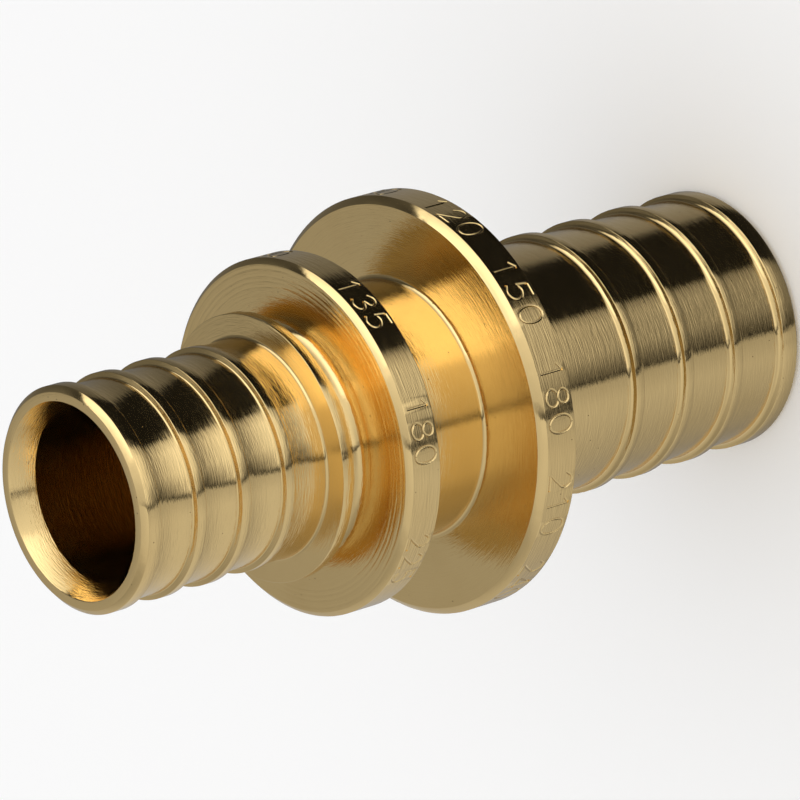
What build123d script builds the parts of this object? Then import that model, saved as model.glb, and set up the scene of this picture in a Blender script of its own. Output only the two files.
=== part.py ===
from build123d import *
import os
from math import radians, tan

# Reducing coupling for sliding-sleeve plastic pipe, turned from one brass bar.
# It stands on its large end: the axis is +Z, Z = 0 is the large end face, millimetres.
# The whole piece is one outline in the XZ plane, revolved once about the axis.

# Bores and the walls round them
BORE_LARGE = 17.7
BORE_SMALL = 14.2
WALL_LARGE = 2.15
WALL_SMALL = 2.1
NECK_WALL = 1.78
BORE_STEP_ANGLE = 59.0
LARGE_BORE_DEPTH = 38.0

# Both pipe ends: outer corner, and the countersink at the mouth of the bore
CORNER_CHAMFER = 0.45
COUNTERSINK_DEPTH = 2.0
COUNTERSINK_ANGLE = 25.0

# Large spigot, measured from its pipe end
LARGE_LENGTH = 31.15
LARGE_END_BAND = 1.95
LARGE_PLAIN_LENGTH = 12.55
LARGE_RIBS = 3
LARGE_RIB_WIDTH = 0.85
LARGE_RIB_RISE = 0.5
LARGE_FLANK_ANGLE = 47.0

# Small spigot, measured from its pipe end
SMALL_LENGTH = 22.1
SMALL_END_BAND = 1.7
SMALL_PLAIN_LENGTH = 3.45
SMALL_RIBS = 3
SMALL_RIB_WIDTH = 0.87
SMALL_RIB_RISE = 0.45
SMALL_FLANK_ANGLE = 60.0
SHANK_DROP = 0.18

# Stop ring on the small spigot, a little in front of the small collar
RING_WIDTH = 1.0
RING_RISE = 1.8
RING_TO_COLLAR = 2.55

# The two collars that the pressing tool bears on, and the neck between them
LARGE_COLLAR_WIDTH = 3.6
LARGE_COLLAR_RISE = 6.42
LARGE_COLLAR_CHAMFER = 0.6
SMALL_COLLAR_WIDTH = 3.25
SMALL_COLLAR_RISE = 5.54
SMALL_COLLAR_CHAMFER = 0.45
NECK_LENGTH = 8.4

# Fillet between the shank of the small spigot and the face of the small collar
SMALL_COLLAR_FILLET = 1.1

# Radii that follow from the bores and walls
bore_large = BORE_LARGE / 2
bore_small = BORE_SMALL / 2
crest_large = bore_large + WALL_LARGE
crest_small = bore_small + WALL_SMALL
neck_radius = bore_large + NECK_WALL
shank_radius = crest_small - SHANK_DROP
ring_radius = crest_small + RING_RISE
collar_large = crest_large + LARGE_COLLAR_RISE
collar_small = crest_small + SMALL_COLLAR_RISE

# Heights above the large end
large_collar_z = LARGE_LENGTH
neck_z = large_collar_z + LARGE_COLLAR_WIDTH
small_collar_z = neck_z + NECK_LENGTH
small_face_z = small_collar_z + SMALL_COLLAR_WIDTH
overall_length = small_face_z + SMALL_LENGTH


def rib_corners(crest, rise, end_band, width, flank_angle, pitch, count):
    """Corners from the end land to the last rib, as (radius, distance from the pipe end)."""
    valley = crest - rise
    run = rise / tan(radians(flank_angle))
    corners = [
        (crest - CORNER_CHAMFER, 0.0),
        (crest, CORNER_CHAMFER),
        (crest, end_band),
    ]
    for number in range(1, count + 1):
        back_edge = end_band + number * pitch
        front_edge = back_edge - width
        corners += [
            (valley, back_edge - pitch + run),
            (valley, front_edge - run),
            (crest, front_edge),
            (crest, back_edge),
        ]
    return corners


def large_spigot_corners():
    """The large spigot, from its end land to the face of the large collar."""
    room = LARGE_LENGTH - LARGE_PLAIN_LENGTH - LARGE_END_BAND
    pitch = room / LARGE_RIBS
    run = LARGE_RIB_RISE / tan(radians(LARGE_FLANK_ANGLE))
    valley = crest_large - LARGE_RIB_RISE
    last_edge = LARGE_LENGTH - LARGE_PLAIN_LENGTH
    return rib_corners(
        crest_large,
        LARGE_RIB_RISE,
        LARGE_END_BAND,
        LARGE_RIB_WIDTH,
        LARGE_FLANK_ANGLE,
        pitch,
        LARGE_RIBS,
    ) + [
        (valley, last_edge + run),
        (valley, LARGE_LENGTH),
    ]


def small_spigot_corners():
    """The small spigot with its stop ring, from its end land to the face of the small collar."""
    ring_back = SMALL_LENGTH - RING_TO_COLLAR
    ring_front = ring_back - RING_WIDTH
    last_edge = ring_front - SMALL_PLAIN_LENGTH
    pitch = (last_edge - SMALL_END_BAND) / SMALL_RIBS
    shank_run = SHANK_DROP / tan(radians(SMALL_FLANK_ANGLE))
    return rib_corners(
        crest_small,
        SMALL_RIB_RISE,
        SMALL_END_BAND,
        SMALL_RIB_WIDTH,
        SMALL_FLANK_ANGLE,
        pitch,
        SMALL_RIBS,
    ) + [
        (shank_radius, last_edge + shank_run),
        (shank_radius, ring_front),
        (ring_radius, ring_front),
        (ring_radius, ring_back),
        (shank_radius, ring_back),
        (shank_radius, SMALL_LENGTH),
    ]


def collar_corners(radius, bottom, width, chamfer):
    """A collar from its lower edge up to the inside of its upper chamfer."""
    top = bottom + width
    return [
        (radius, bottom),
        (radius, top - chamfer),
        (radius - chamfer, top),
    ]


def bore_corners():
    """The through bore from the small end down to the large end."""
    mouth_rise = COUNTERSINK_DEPTH * tan(radians(COUNTERSINK_ANGLE))
    step_run = abs(bore_large - bore_small) / tan(radians(BORE_STEP_ANGLE))
    return [
        (bore_small + mouth_rise, overall_length),
        (bore_small, overall_length - COUNTERSINK_DEPTH),
        (bore_small, LARGE_BORE_DEPTH + step_run),
        (bore_large, LARGE_BORE_DEPTH),
        (bore_large, COUNTERSINK_DEPTH),
        (bore_large + mouth_rise, 0.0),
    ]


def section_corners():
    """Every corner of the half section, up the outside and down the bore."""
    small_spigot = [
        (radius, overall_length - distance)
        for radius, distance in reversed(small_spigot_corners())
    ]
    return (
        large_spigot_corners()
        + collar_corners(collar_large, large_collar_z, LARGE_COLLAR_WIDTH, LARGE_COLLAR_CHAMFER)
        + [(neck_radius, neck_z), (neck_radius, small_collar_z)]
        + collar_corners(collar_small, small_collar_z, SMALL_COLLAR_WIDTH, SMALL_COLLAR_CHAMFER)
        + small_spigot
        + bore_corners()
    )


def turned_body():
    """The half section revolved once about the axis."""
    with BuildPart() as body:
        with BuildSketch(Plane.XZ) as section:
            with BuildLine():
                Polyline(*section_corners(), close=True)
            make_face()
            collar_root = section.vertices().sort_by_distance((shank_radius, small_face_z))[0]
            fillet(collar_root, SMALL_COLLAR_FILLET)
        revolve(axis=Axis.Z)
    return body.part


os.makedirs("parts", exist_ok=True)
export_step(turned_body(), "parts/coupling_body.step")
print("overall length", round(overall_length, 3), "largest diameter", round(2 * collar_large, 3))
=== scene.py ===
from math import cos, degrees, hypot, pi, radians, sin, tan

import bmesh
import bpy
from mathutils import Matrix, Vector, noise


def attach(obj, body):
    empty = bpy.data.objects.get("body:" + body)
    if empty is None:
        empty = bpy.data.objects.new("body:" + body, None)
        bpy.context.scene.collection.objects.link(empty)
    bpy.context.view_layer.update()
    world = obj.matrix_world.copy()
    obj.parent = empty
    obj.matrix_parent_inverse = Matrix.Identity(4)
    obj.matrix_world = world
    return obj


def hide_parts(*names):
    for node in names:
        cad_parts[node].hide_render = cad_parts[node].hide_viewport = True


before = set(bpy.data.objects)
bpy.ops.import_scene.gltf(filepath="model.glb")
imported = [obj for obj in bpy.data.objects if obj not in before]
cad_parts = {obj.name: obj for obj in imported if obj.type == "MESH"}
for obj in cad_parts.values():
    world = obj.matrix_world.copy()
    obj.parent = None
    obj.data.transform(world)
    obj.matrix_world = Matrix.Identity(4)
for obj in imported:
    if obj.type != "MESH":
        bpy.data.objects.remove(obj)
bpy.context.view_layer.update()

# Turned body: the whole coupling is one piece of brass bar, turned and bored on an automatic lathe.
# Its outline is given as corners of (radius, height above the large end, edge radius), in millimetres,
# and is rounded at each corner and spun once round the upright axis.

MM = 0.001
SPIN_STEPS = 360

LARGE_CREST = 11.0
LARGE_VALLEY = 10.5
SMALL_CREST = 9.2
SMALL_VALLEY = 8.75
SHANK = 9.02
RING = 11.0
NECK = 10.63
LARGE_COLLAR = 17.41
SMALL_COLLAR = 14.74
LARGE_BORE = 8.85
SMALL_BORE = 7.1

TOP = 68.5
LARGE_FACE = 31.15
LARGE_COLLAR_TOP = 34.75
SMALL_COLLAR_BOTTOM = 43.15
SMALL_FACE = 46.4
RING_BOTTOM = 48.95
RING_TOP = 49.95
BORE_STEP = 38.0
BORE_STEP_RUN = 1.05

CORNER_CHAMFER = 0.45
COUNTERSINK_DEPTH = 2.0
COUNTERSINK_RISE = 0.933
LARGE_COLLAR_CHAMFER = 0.6
SMALL_COLLAR_CHAMFER = 0.45

LARGE_BAND_END = 1.95
LARGE_RIB_PITCH = 5.55
LARGE_RIB_WIDTH = 0.85
LARGE_FLANK = 0.2
SMALL_BAND_END = 1.7
SMALL_RIB_PITCH = 4.467
SMALL_RIB_WIDTH = 0.87
SMALL_FLANK = 0.12
RIBS = 3

FACE_GROOVES = (13.9, 13.3, 12.9, 12.45)
FACE_GROOVE_WIDTH = 0.3
FACE_GROOVE_DEPTH = 0.015

EDGE = 0.05
SOFT_EDGE = 0.09
ROUNDING_STEP = 24
MERGE_GAP = 0.00001
LARGE_ROOT = 0.45
SMALL_ROOT = 0.16
RING_ROOT = 0.28
RING_BACK_ROOT = 1.4
COLLAR_ROOT = 1.05
NECK_ROOT = 0.45


def ribbed_outline(crest, valley, band_end, pitch, width, flank, root):
    """Corners from a pipe end's land to its last rib, with heights taken from that end."""
    corners = [
        (crest - CORNER_CHAMFER, 0.0, SOFT_EDGE),
        (crest, CORNER_CHAMFER, SOFT_EDGE),
        (crest, band_end, EDGE),
    ]
    for rib in range(1, RIBS + 1):
        back = band_end + rib * pitch
        corners += [
            (valley, back - pitch + flank, root),
            (valley, back - width - flank, root),
            (crest, back - width, EDGE),
            (crest, back, EDGE),
        ]
    return corners


def body_outline():
    """Every corner of the half section, up the outside and down the bore."""
    large = ribbed_outline(
        LARGE_CREST, LARGE_VALLEY, LARGE_BAND_END, LARGE_RIB_PITCH, LARGE_RIB_WIDTH, LARGE_FLANK, LARGE_ROOT
    )
    small = ribbed_outline(
        SMALL_CREST, SMALL_VALLEY, SMALL_BAND_END, SMALL_RIB_PITCH, SMALL_RIB_WIDTH, SMALL_FLANK, SMALL_ROOT
    )
    last_large_rib = LARGE_BAND_END + RIBS * LARGE_RIB_PITCH
    last_small_rib = SMALL_BAND_END + RIBS * SMALL_RIB_PITCH
    outline = large + [
        (LARGE_VALLEY, last_large_rib + LARGE_FLANK, LARGE_ROOT),
        (LARGE_VALLEY, LARGE_FACE, SMALL_ROOT),
        (LARGE_COLLAR, LARGE_FACE, EDGE),
        (LARGE_COLLAR, LARGE_COLLAR_TOP - LARGE_COLLAR_CHAMFER, EDGE),
        (LARGE_COLLAR - LARGE_COLLAR_CHAMFER, LARGE_COLLAR_TOP, EDGE),
        (NECK, LARGE_COLLAR_TOP, NECK_ROOT),
        (NECK, SMALL_COLLAR_BOTTOM, NECK_ROOT),
        (SMALL_COLLAR, SMALL_COLLAR_BOTTOM, EDGE),
        (SMALL_COLLAR, SMALL_FACE - SMALL_COLLAR_CHAMFER, EDGE),
        (SMALL_COLLAR - SMALL_COLLAR_CHAMFER, SMALL_FACE, EDGE),
    ]
    for groove in FACE_GROOVES:
        outline += [
            (groove + FACE_GROOVE_WIDTH / 2, SMALL_FACE, FACE_GROOVE_WIDTH / 8),
            (groove, SMALL_FACE - FACE_GROOVE_DEPTH, FACE_GROOVE_WIDTH / 4),
            (groove - FACE_GROOVE_WIDTH / 2, SMALL_FACE, FACE_GROOVE_WIDTH / 8),
        ]
    outline += [
        (SHANK, SMALL_FACE, COLLAR_ROOT),
        (SHANK, RING_BOTTOM, RING_BACK_ROOT),
        (RING, RING_BOTTOM, EDGE),
        (RING, RING_TOP, EDGE),
        (SHANK, RING_TOP, RING_ROOT),
        (SHANK, TOP - last_small_rib - SMALL_FLANK / 2, SMALL_ROOT),
    ]
    outline += [(radius, TOP - height, rounding) for radius, height, rounding in reversed(small)]
    outline += [
        (SMALL_BORE + COUNTERSINK_RISE, TOP, SOFT_EDGE),
        (SMALL_BORE, TOP - COUNTERSINK_DEPTH, EDGE),
        (SMALL_BORE, BORE_STEP + BORE_STEP_RUN, EDGE),
        (LARGE_BORE, BORE_STEP, EDGE),
        (LARGE_BORE, COUNTERSINK_DEPTH, EDGE),
        (LARGE_BORE + COUNTERSINK_RISE, 0.0, EDGE),
    ]
    return outline


def round_corner(mesh, corner, radius):
    """Rounds one corner of the wire outline to the radius given, in millimetres."""
    ends = [edge.other_vert(corner).co - corner.co for edge in corner.link_edges]
    turn = pi - ends[0].angle(ends[1])
    segments = max(2, round(degrees(turn) / ROUNDING_STEP))
    bmesh.ops.bevel(
        mesh,
        geom=[corner],
        offset=radius * MM * tan(turn / 2),
        offset_type="OFFSET",
        affect="VERTICES",
        segments=segments,
        profile=0.5,
        material=-1,
    )


def spin_body():
    """The rounded outline, spun once round the axis."""
    outline = body_outline()
    mesh = bmesh.new()
    corners = [mesh.verts.new((radius * MM, 0.0, height * MM)) for radius, height, rounding in outline]
    for start, end in zip(corners, corners[1:] + corners[:1]):
        mesh.edges.new((start, end))
    for corner, (radius, height, rounding) in zip(corners, outline):
        round_corner(mesh, corner, rounding)
    bmesh.ops.spin(
        mesh,
        geom=mesh.verts[:] + mesh.edges[:],
        cent=(0.0, 0.0, 0.0),
        axis=(0.0, 0.0, 1.0),
        dvec=(0.0, 0.0, 0.0),
        angle=2 * pi,
        steps=SPIN_STEPS,
        use_merge=True,
        use_normal_flip=False,
        use_duplicate=False,
    )
    bmesh.ops.remove_doubles(mesh, verts=mesh.verts[:], dist=MERGE_GAP * MM)
    bmesh.ops.recalc_face_normals(mesh, faces=mesh.faces[:])
    return mesh


EDGE_REACH = 0.11
WAVE_DEPTH = 0.012
WAVE_LENGTH = 0.5
NICK_DEPTH = 0.05
NICK_LENGTH = 1.1
NICK_SHARE = 0.42
NICK_SHIFT = Vector((0.0, 0.0, 7.0))


def roughen_edges(mesh):
    """Leaves the sharp outer edges a little uneven, with small nicks, as turning and handling do."""
    sharp = [Vector((radius, height)) for radius, height, rounding in body_outline() if rounding == EDGE]
    sharp = [corner for corner in sharp if corner.x > LARGE_BORE + COUNTERSINK_RISE / 2]
    for vert in mesh.verts:
        radius, height = hypot(vert.co.x, vert.co.y) / MM, vert.co.z / MM
        near = min((Vector((radius, height)) - corner).length for corner in sharp)
        if near > EDGE_REACH:
            continue
        spot = vert.co / MM
        push = WAVE_DEPTH * noise.noise(spot / WAVE_LENGTH)
        nick = noise.noise(spot / NICK_LENGTH + NICK_SHIFT)
        push -= NICK_DEPTH * max(0.0, nick - NICK_SHARE) / (1.0 - NICK_SHARE)
        around = Vector((vert.co.x, vert.co.y, 0.0)).normalized()
        vert.co += around * min(push, 0.0) * MM


body_mesh = spin_body()
roughen_edges(body_mesh)
body_data = bpy.data.meshes.new("coupling")
body_mesh.to_mesh(body_data)
body_mesh.free()
coupling = bpy.data.objects.new("coupling", body_data)
bpy.context.scene.collection.objects.link(coupling)

# Rim numbers: plain angle numbers cut round the edge of both collars with a small round tool, as a dial has
# them. They read round the axis, with their tops towards the large end. Each digit is a list of strokes of
# (across, up) points: a ring closes on itself, a bow curves through its points and a line is straight.

DIGITS = {
    "0": (("ring", (0.5, 0.0), (1.0, 0.8), (0.5, 1.6), (0.0, 0.8)),),
    "1": (("line", (0.55, 0.0), (0.55, 1.6)), ("line", (0.55, 1.6), (0.15, 1.25))),
    "2": (
        ("bow", (0.05, 1.2), (0.5, 1.6), (0.95, 1.15), (0.6, 0.6), (0.0, 0.02)),
        ("line", (0.0, 0.0), (1.0, 0.0)),
    ),
    "3": (
        ("bow", (0.05, 1.35), (0.5, 1.6), (0.92, 1.22), (0.45, 0.85)),
        ("bow", (0.45, 0.85), (1.0, 0.42), (0.5, 0.0), (0.0, 0.25)),
    ),
    "4": (
        ("line", (0.75, 0.0), (0.75, 1.6)),
        ("line", (0.75, 1.6), (0.0, 0.45)),
        ("line", (0.0, 0.45), (1.0, 0.45)),
    ),
    "5": (
        ("line", (0.2, 1.6), (0.95, 1.6)),
        ("line", (0.2, 1.6), (0.1, 0.85)),
        ("bow", (0.1, 0.9), (0.6, 1.0), (1.0, 0.5), (0.5, 0.0), (0.0, 0.2)),
    ),
    "6": (
        ("ring", (0.5, 0.0), (1.0, 0.48), (0.5, 0.95), (0.0, 0.48)),
        ("bow", (0.0, 0.5), (0.2, 1.2), (0.8, 1.6)),
    ),
    "7": (("line", (0.0, 1.6), (1.0, 1.6)), ("line", (1.0, 1.6), (0.35, 0.0))),
    "8": (
        ("ring", (0.5, 0.0), (1.0, 0.42), (0.5, 0.85), (0.0, 0.42)),
        ("ring", (0.5, 0.85), (0.9, 1.22), (0.5, 1.6), (0.1, 1.22)),
    ),
    "9": (
        ("ring", (0.5, 0.65), (1.0, 1.12), (0.5, 1.6), (0.0, 1.12)),
        ("bow", (1.0, 1.1), (0.8, 0.4), (0.2, 0.0)),
    ),
}
MOST_STROKES = 3
DIGIT_UNITS = 1.6
DIGIT_STEP = 1.5
CUT_WIDTH = 0.26
CUT_DEPTH = 0.075
CUT_CURVE_STEPS = 6
CUT_ROUND_STEPS = 4
CAP_GAP = 0.001
LARGE_DIGIT = 2.3
SMALL_DIGIT = 2.1
LARGE_NUMBER_STEP = 30
SMALL_NUMBER_STEP = 45
SHARP_ANGLE = 31


def number_cutter(rim, middle, height, step, stroke):
    """One mesh of the digits' first, second or third strokes for a whole rim, bent round it."""
    tool = (CUT_WIDTH**2 / 4 + CUT_DEPTH**2) / (2 * CUT_DEPTH)
    curve = bpy.data.curves.new("rim numbers", "CURVE")
    curve.dimensions = "3D"
    curve.resolution_u = CUT_CURVE_STEPS
    curve.bevel_depth = tool
    curve.bevel_resolution = CUT_ROUND_STEPS
    curve.use_fill_caps = True
    unit = height / DIGIT_UNITS
    for angle in range(0, 360, step):
        number = str(angle)
        for place, digit in enumerate(number):
            left = radians(angle) * rim + (place - len(number) / 2) * DIGIT_STEP * unit
            for kind, *points in DIGITS[digit][stroke : stroke + 1]:
                spline = curve.splines.new("BEZIER")
                spline.use_cyclic_u = kind == "ring"
                spline.bezier_points.add(len(points) - 1)
                for point, (across, up) in zip(spline.bezier_points, points):
                    point.co = (left + across * unit, up * unit, tool - CUT_DEPTH)
                    point.handle_left_type = "VECTOR" if kind == "line" else "AUTO"
                    point.handle_right_type = point.handle_left_type
    drawn = bpy.data.objects.new("rim numbers", curve)
    bpy.context.scene.collection.objects.link(drawn)
    bpy.context.view_layer.update()
    depsgraph = bpy.context.evaluated_depsgraph_get()
    mesh = bpy.data.meshes.new_from_object(drawn.evaluated_get(depsgraph))
    bpy.data.objects.remove(drawn)
    strokes = bmesh.new()
    strokes.from_mesh(mesh)
    bmesh.ops.remove_doubles(strokes, verts=strokes.verts[:], dist=CAP_GAP)
    for vert in strokes.verts:
        around, radius = vert.co.x / rim, rim + vert.co.z
        vert.co = Vector((radius * sin(around), radius * cos(around), middle + height / 2 - vert.co.y)) * MM
    strokes.to_mesh(mesh)
    strokes.free()
    return mesh


def cut_numbers(body, cutter_mesh):
    """Cuts one mesh of strokes out of the body, so that strokes which cross are never in one cutter."""
    cutter = bpy.data.objects.new("cutter", cutter_mesh)
    bpy.context.scene.collection.objects.link(cutter)
    cut = body.modifiers.new("cut", "BOOLEAN")
    cut.operation = "DIFFERENCE"
    cut.solver = "MANIFOLD"
    cut.object = cutter
    depsgraph = bpy.context.evaluated_depsgraph_get()
    cut_mesh = bpy.data.meshes.new_from_object(body.evaluated_get(depsgraph))
    body.modifiers.remove(cut)
    body.data = cut_mesh
    bpy.data.objects.remove(cutter)


large_middle = (LARGE_FACE + LARGE_COLLAR_TOP - LARGE_COLLAR_CHAMFER) / 2
small_middle = (SMALL_COLLAR_BOTTOM + SMALL_FACE - SMALL_COLLAR_CHAMFER) / 2
for stroke in range(MOST_STROKES):
    cut_numbers(coupling, number_cutter(LARGE_COLLAR, large_middle, LARGE_DIGIT, LARGE_NUMBER_STEP, stroke))
    cut_numbers(coupling, number_cutter(SMALL_COLLAR, small_middle, SMALL_DIGIT, SMALL_NUMBER_STEP, stroke))

for polygon in coupling.data.polygons:
    polygon.use_smooth = True
coupling.data.set_sharp_from_angle(angle=radians(SHARP_ANGLE))
shading = coupling.modifiers.new("even shading", "WEIGHTED_NORMAL")
shading.mode = "FACE_AREA"
shading.weight = 100
shading.keep_sharp = True

# Brass: bright turned brass with no coating. The tool's fine rings draw reflections out along the axis and
# leave them sharp round it, and there are a few small dark pits.

BRASS_COLOUR = (0.88, 0.65, 0.30, 1.0)
DULL_BRASS_COLOUR = (0.82, 0.59, 0.26, 1.0)
PIT_COLOUR = (0.10, 0.06, 0.02, 1.0)
FACE_SHARE = 1.37
FINE_RING = 0.13
FINE_RING_HEIGHT = 0.016
LONG_RING = 0.33
LONG_RING_HEIGHT = 0.009
FINE_ARC = 9.0
LONG_ARC = 1.5
FINE_DETAIL = 2.0
LONG_DETAIL = 3.0
CLOUD_SIZE = 5.0
CLOUD_DETAIL = 3.0
DULL_SHARE = 0.5
PIT_SPACING = 1.3
PIT_SIZE = 0.045
PIT_FLOOR = 0.027
PIT_DEPTH = 0.01
ROUGHNESS = 0.11
ROUGHNESS_SPREAD = 0.03
FLECK_SPREAD = 0.06
RING_STRETCH = 0.9
QUARTER_TURN = 0.25


class Finish:
    """Short hands for the nodes of one material."""

    def __init__(self, name):
        self.material = bpy.data.materials.new(name)
        self.material.use_nodes = True
        self.nodes, self.links = self.material.node_tree.nodes, self.material.node_tree.links

    def feed(self, socket, value):
        if isinstance(value, bpy.types.NodeSocket):
            self.links.new(value, socket)
        else:
            socket.default_value = value

    def math(self, operation, *values):
        node = self.nodes.new("ShaderNodeMath")
        node.operation = operation
        for socket, value in zip(node.inputs, values):
            self.feed(socket, value)
        return node.outputs["Value"]

    def vector(self, operation, *values):
        node = self.nodes.new("ShaderNodeVectorMath")
        node.operation = operation
        for socket, value in zip(node.inputs, values):
            self.feed(socket, value)
        return node.outputs["Value" if operation == "LENGTH" else "Vector"]

    def noise(self, place, detail):
        node = self.nodes.new("ShaderNodeTexNoise")
        node.inputs["Scale"].default_value = 1.0
        node.inputs["Detail"].default_value = detail
        self.feed(node.inputs["Vector"], place)
        return node.outputs["Fac"]

    def fade(self, value, start, end, low, high):
        node = self.nodes.new("ShaderNodeMapRange")
        for name, number in (("From Min", start), ("From Max", end), ("To Min", low), ("To Max", high)):
            node.inputs[name].default_value = number
        self.feed(node.inputs["Value"], value)
        return node.outputs["Result"]

    def blend(self, share, first, second):
        # A Mix node's colour sockets share their names with others, so they are taken by number.
        node = self.nodes.new("ShaderNodeMix")
        node.data_type = "RGBA"
        self.feed(node.inputs["Factor"], share)
        self.feed(node.inputs[6], first)
        self.feed(node.inputs[7], second)
        return node.outputs[2]

    def bump(self, height, distance, below=None):
        node = self.nodes.new("ShaderNodeBump")
        node.inputs["Distance"].default_value = distance * MM
        self.feed(node.inputs["Height"], height)
        if below:
            self.feed(node.inputs["Normal"], below)
        return node.outputs["Normal"]


def brass_material():
    """Turned brass, ringed by noise that is fine along the outline and long round the axis."""
    finish = Finish("turned brass")
    nodes = finish.nodes
    shader = nodes["Principled BSDF"]
    place = nodes.new("ShaderNodeTexCoord").outputs["Object"]
    across = finish.vector("MULTIPLY", place, (1.0, 1.0, 0.0))
    outward = finish.vector("NORMALIZE", across)
    split = nodes.new("ShaderNodeSeparateXYZ")
    finish.feed(split.inputs["Vector"], place)
    # The way along the outline is the height with the radius added, so that flat faces are ringed too.
    radius = finish.vector("LENGTH", across)
    along = finish.math("ADD", split.outputs["Z"], finish.math("MULTIPLY", radius, FACE_SHARE))

    def rings(width, arc):
        spot = nodes.new("ShaderNodeCombineXYZ")
        finish.feed(spot.inputs["Z"], finish.math("MULTIPLY", along, 1.0 / (width * MM)))
        around = finish.vector("MULTIPLY", outward, (arc, arc, 0.0))
        return finish.vector("ADD", around, spot.outputs["Vector"])

    fine = finish.noise(rings(FINE_RING, FINE_ARC), FINE_DETAIL)
    long = finish.noise(rings(LONG_RING, LONG_ARC), LONG_DETAIL)
    cloud = finish.noise(finish.vector("MULTIPLY", place, (1 / (CLOUD_SIZE * MM),) * 3), CLOUD_DETAIL)
    pits = nodes.new("ShaderNodeTexVoronoi")
    pits.inputs["Scale"].default_value = 1.0 / (PIT_SPACING * MM)
    finish.feed(pits.inputs["Vector"], place)
    pit = finish.fade(pits.outputs["Distance"], PIT_FLOOR, PIT_SIZE, 1.0, 0.0)
    normal = finish.bump(fine, FINE_RING_HEIGHT)
    normal = finish.bump(long, LONG_RING_HEIGHT, normal)
    normal = finish.bump(finish.math("SUBTRACT", 1.0, pit), PIT_DEPTH, normal)
    finish.feed(shader.inputs["Normal"], normal)
    dull = finish.fade(cloud, 0.45, 0.75, 0.0, DULL_SHARE)
    colour = finish.blend(dull, BRASS_COLOUR, DULL_BRASS_COLOUR)
    finish.feed(shader.inputs["Base Color"], finish.blend(pit, colour, PIT_COLOUR))
    smooth, rough = ROUGHNESS - ROUGHNESS_SPREAD / 2, ROUGHNESS + ROUGHNESS_SPREAD / 2
    patches = finish.fade(cloud, 0.3, 0.7, smooth, rough)
    flecks = finish.fade(fine, 0.35, 0.65, -FLECK_SPREAD / 2, FLECK_SPREAD / 2)
    finish.feed(shader.inputs["Roughness"], finish.math("ADD", patches, flecks))
    shader.inputs["Metallic"].default_value = 1.0
    shader.inputs["Anisotropic"].default_value = RING_STRETCH
    shader.inputs["Anisotropic Rotation"].default_value = QUARTER_TURN
    tangent = finish.vector("NORMALIZE", finish.vector("CROSS_PRODUCT", (0.0, 0.0, 1.0), place))
    finish.feed(shader.inputs["Tangent"], tangent)
    return finish.material


coupling.data.materials.clear()
coupling.data.materials.append(brass_material())
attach(coupling, "root")
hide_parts("coupling_body")

# Floor: a plain pale table top that the coupling stands on. The brass doesn't mirror it, because it mirrors
# the studio round it instead. A dim patch under the foot lights the bore, as its open far end would.

FLOOR_SIZE = 3.0
FLOOR_COLOUR = (0.97, 0.97, 0.97, 1.0)
FLOOR_ROUGHNESS = 0.9
FLOOR_GAP = 0.02
FOOT_PATCH = 9.5
FOOT_PATCH_GAP = 0.01
FOOT_PATCH_LIGHT = 0.1
DISC_SIDES = 64


def plain_material(name, colour):
    material = bpy.data.materials.new(name)
    material.use_nodes = True
    shader = material.node_tree.nodes["Principled BSDF"]
    shader.inputs["Base Color"].default_value = colour
    shader.inputs["Roughness"].default_value = FLOOR_ROUGHNESS
    return material


def stage_disc(name, radius, height, material):
    mesh = bmesh.new()
    bmesh.ops.create_circle(mesh, cap_ends=True, radius=radius, segments=DISC_SIDES)
    bmesh.ops.translate(mesh, verts=mesh.verts[:], vec=(0.0, 0.0, height))
    data = bpy.data.meshes.new(name)
    mesh.to_mesh(data)
    mesh.free()
    disc = bpy.data.objects.new(name, data)
    bpy.context.scene.collection.objects.link(disc)
    disc.data.materials.append(material)
    return disc


floor = stage_disc("floor", FLOOR_SIZE, -FLOOR_GAP * MM, plain_material("floor", FLOOR_COLOUR))
floor.visible_glossy = False
patch_material = plain_material("foot patch", FLOOR_COLOUR)
patch_shader = patch_material.node_tree.nodes["Principled BSDF"]
patch_shader.inputs["Emission Color"].default_value = FLOOR_COLOUR
patch_shader.inputs["Emission Strength"].default_value = FOOT_PATCH_LIGHT
foot_patch = stage_disc("foot_patch", FOOT_PATCH * MM, -FOOT_PATCH_GAP * MM, patch_material)
foot_patch.visible_camera = False
foot_patch.visible_diffuse = False

# Studio: plain white light from all round falls on the floor. The brass mirrors a light tent instead, a dome
# that only reflections see. Each of its rings is the height of a direction up or down from the middle, and
# then the light there as (degrees round the axis, level), with softboxes, a pale table and dark corners.

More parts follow.
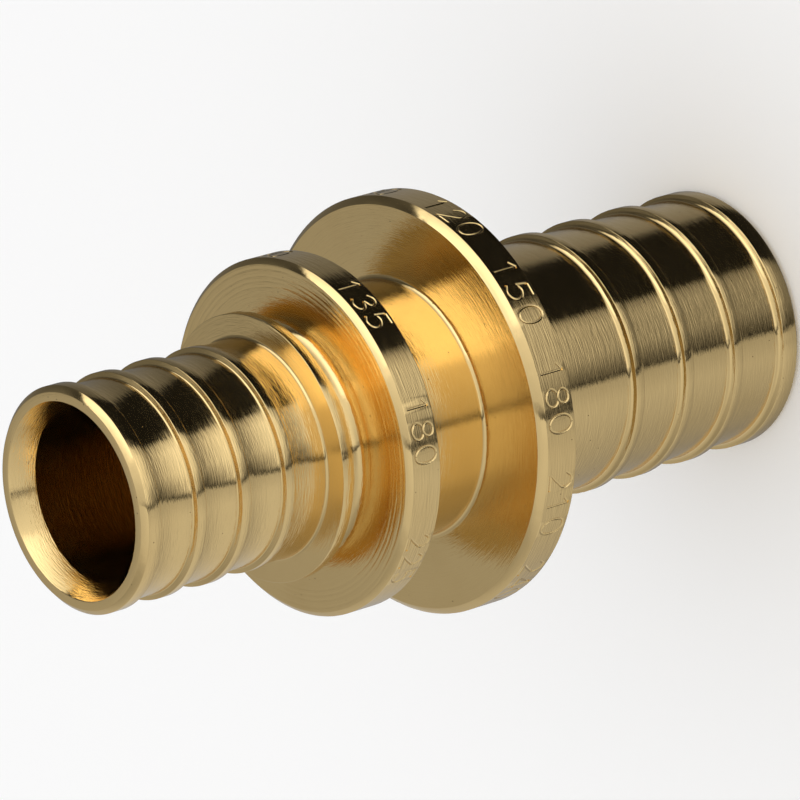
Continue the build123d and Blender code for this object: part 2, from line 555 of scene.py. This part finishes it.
TENT_RADIUS = 0.3
TENT_CENTRE = (0.0, 0.0, 0.034)
TENT_ROUNDS = 5
WORLD_COLOUR = (1.0, 1.0, 1.0, 1.0)
TENT_RINGS = (
    (-0.98, ((0, 0.3), (70, 0.1), (100, 0.05), (140, 0.1), (170, 0.2), (280, 0.3))),
    (-0.74, ((0, 0.2), (30, 0.3), (50, 0.26), (66, 0.2), (71, 0.01), (134, 0.01), (140, 0.16), (150, 0.2),
             (176, 0.16), (188, 0.06), (194, 0.04), (195.5, 0.01), (197, 0.01), (198, 0.38), (222, 0.48),
             (240, 0.42), (262, 0.34), (300, 0.25), (330, 0.26))),
    (-0.45, ((0, 0.15), (30, 0.14), (58, 0.12), (68, 0.1), (72, 0.01), (135, 0.01), (139, 0.6), (148, 0.9),
             (172, 0.8), (186, 0.4), (193, 0.25), (195.5, 0.03), (197, 0.03), (198, 0.5), (215, 0.64),
             (300, 0.62), (340, 0.5))),
    (-0.15, ((0, 0.2), (30, 0.1), (50, 0.06), (64, 0.06), (70, 0.02), (128, 0.02), (138, 1.0), (150, 1.3),
             (190, 1.1), (195.5, 0.1), (197, 0.1), (198, 0.45), (215, 0.55), (300, 0.5), (340, 0.4))),
    (0.05, ((0, 0.2), (30, 0.1), (50, 0.06), (64, 0.1), (69, 0.65), (128, 0.75), (150, 0.9), (190, 0.9),
            (195.5, 0.1), (197, 0.1), (198, 0.45), (215, 0.55), (300, 0.5), (340, 0.4))),
    (0.6, ((0, 0.35), (14, 0.16), (45, 0.14), (58, 0.05), (64, 0.04), (69, 1.6), (128, 1.8), (142, 1.6),
           (150, 0.95), (190, 0.6), (195.5, 0.08), (197, 0.08), (198, 0.75), (245, 0.62), (262, 0.4),
           (300, 0.3), (330, 0.4))),
    (0.97, ((0, 0.5), (60, 0.5), (100, 0.9), (150, 0.8), (190, 0.6), (300, 0.5))),
)


def white_world():
    world = bpy.data.worlds.new("white")
    bpy.context.scene.world = world
    world.use_nodes = True
    background = world.node_tree.nodes["Background"]
    background.inputs["Color"].default_value = WORLD_COLOUR
    background.inputs["Strength"].default_value = 1.0


def tent_material():
    """The tent's light, one colour ramp to a ring, blended from ring to ring."""
    tent = Finish("tent light")
    nodes = tent.nodes
    nodes.remove(nodes["Principled BSDF"])
    glow = nodes.new("ShaderNodeEmission")
    tent.feed(nodes["Material Output"].inputs["Surface"], glow.outputs["Emission"])
    place = nodes.new("ShaderNodeTexCoord").outputs["Object"]
    direction = tent.vector("NORMALIZE", tent.vector("SUBTRACT", place, TENT_CENTRE))
    split = nodes.new("ShaderNodeSeparateXYZ")
    tent.feed(split.inputs["Vector"], direction)
    azimuth = tent.math("ARCTAN2", split.outputs["X"], split.outputs["Y"])
    turn = tent.math("FRACT", tent.math("ADD", tent.math("DIVIDE", azimuth, 2 * pi), 1.0))
    light = None
    for index, (height, stops) in enumerate(TENT_RINGS):
        ramp = nodes.new("ShaderNodeValToRGB")
        tent.feed(ramp.inputs["Fac"], turn)
        elements = ramp.color_ramp.elements
        start = stops[0][1]
        elements[0].color = (start, start, start, 1.0)
        elements[1].position = 1.0
        elements[1].color = (start, start, start, 1.0)
        for angle, level in stops[1:]:
            elements.new(angle / 360).color = (level, level, level, 1.0)
        if light is None:
            light = ramp.outputs["Color"]
        else:
            step = nodes.new("ShaderNodeMapRange")
            step.interpolation_type = "SMOOTHSTEP"
            step.inputs["From Min"].default_value = TENT_RINGS[index - 1][0]
            step.inputs["From Max"].default_value = height
            tent.feed(step.inputs["Value"], split.outputs["Z"])
            light = tent.blend(step.outputs["Result"], light, ramp.outputs["Color"])
    tent.feed(glow.inputs["Color"], light)
    tent.material.cycles.emission_sampling = "NONE"
    return tent.material


def build_tent():
    mesh = bmesh.new()
    bmesh.ops.create_icosphere(mesh, subdivisions=TENT_ROUNDS, radius=TENT_RADIUS)
    bmesh.ops.translate(mesh, verts=mesh.verts[:], vec=TENT_CENTRE)
    data = bpy.data.meshes.new("tent")
    mesh.to_mesh(data)
    mesh.free()
    tent = bpy.data.objects.new("tent", data)
    bpy.context.scene.collection.objects.link(tent)
    data.materials.append(tent_material())
    tent.visible_camera = False
    tent.visible_diffuse = False
    tent.visible_transmission = False
    tent.visible_volume_scatter = False
    tent.visible_shadow = False


white_world()
build_tent()

# Camera: a long lens, placed and rolled as the photograph sees the part. Its place is in millimetres, and
# the picture's right, its up and the way back to the camera are directions.

CAMERA_PLACE = (70.31, -393.71, 347.98)
CAMERA_RIGHT = (-0.16835, -0.63208, -0.75640)
CAMERA_UP = (0.97611, 0.0, -0.21726)
CAMERA_BACK = (0.13732, -0.77491, 0.61698)
LENS = 281.7

camera_data = bpy.data.cameras.new("camera")
camera_data.lens = LENS
camera_data.sensor_width = 36.0
camera_data.clip_start = 0.01
camera_data.clip_end = 20.0
camera = bpy.data.objects.new("camera", camera_data)
bpy.context.scene.collection.objects.link(camera)
aim = Matrix((CAMERA_RIGHT, CAMERA_UP, CAMERA_BACK)).transposed().to_4x4()
camera.matrix_world = Matrix.Translation(Vector(CAMERA_PLACE) * MM) @ aim
bpy.context.scene.camera = camera

bpy.context.scene.view_settings.view_transform = "Standard"
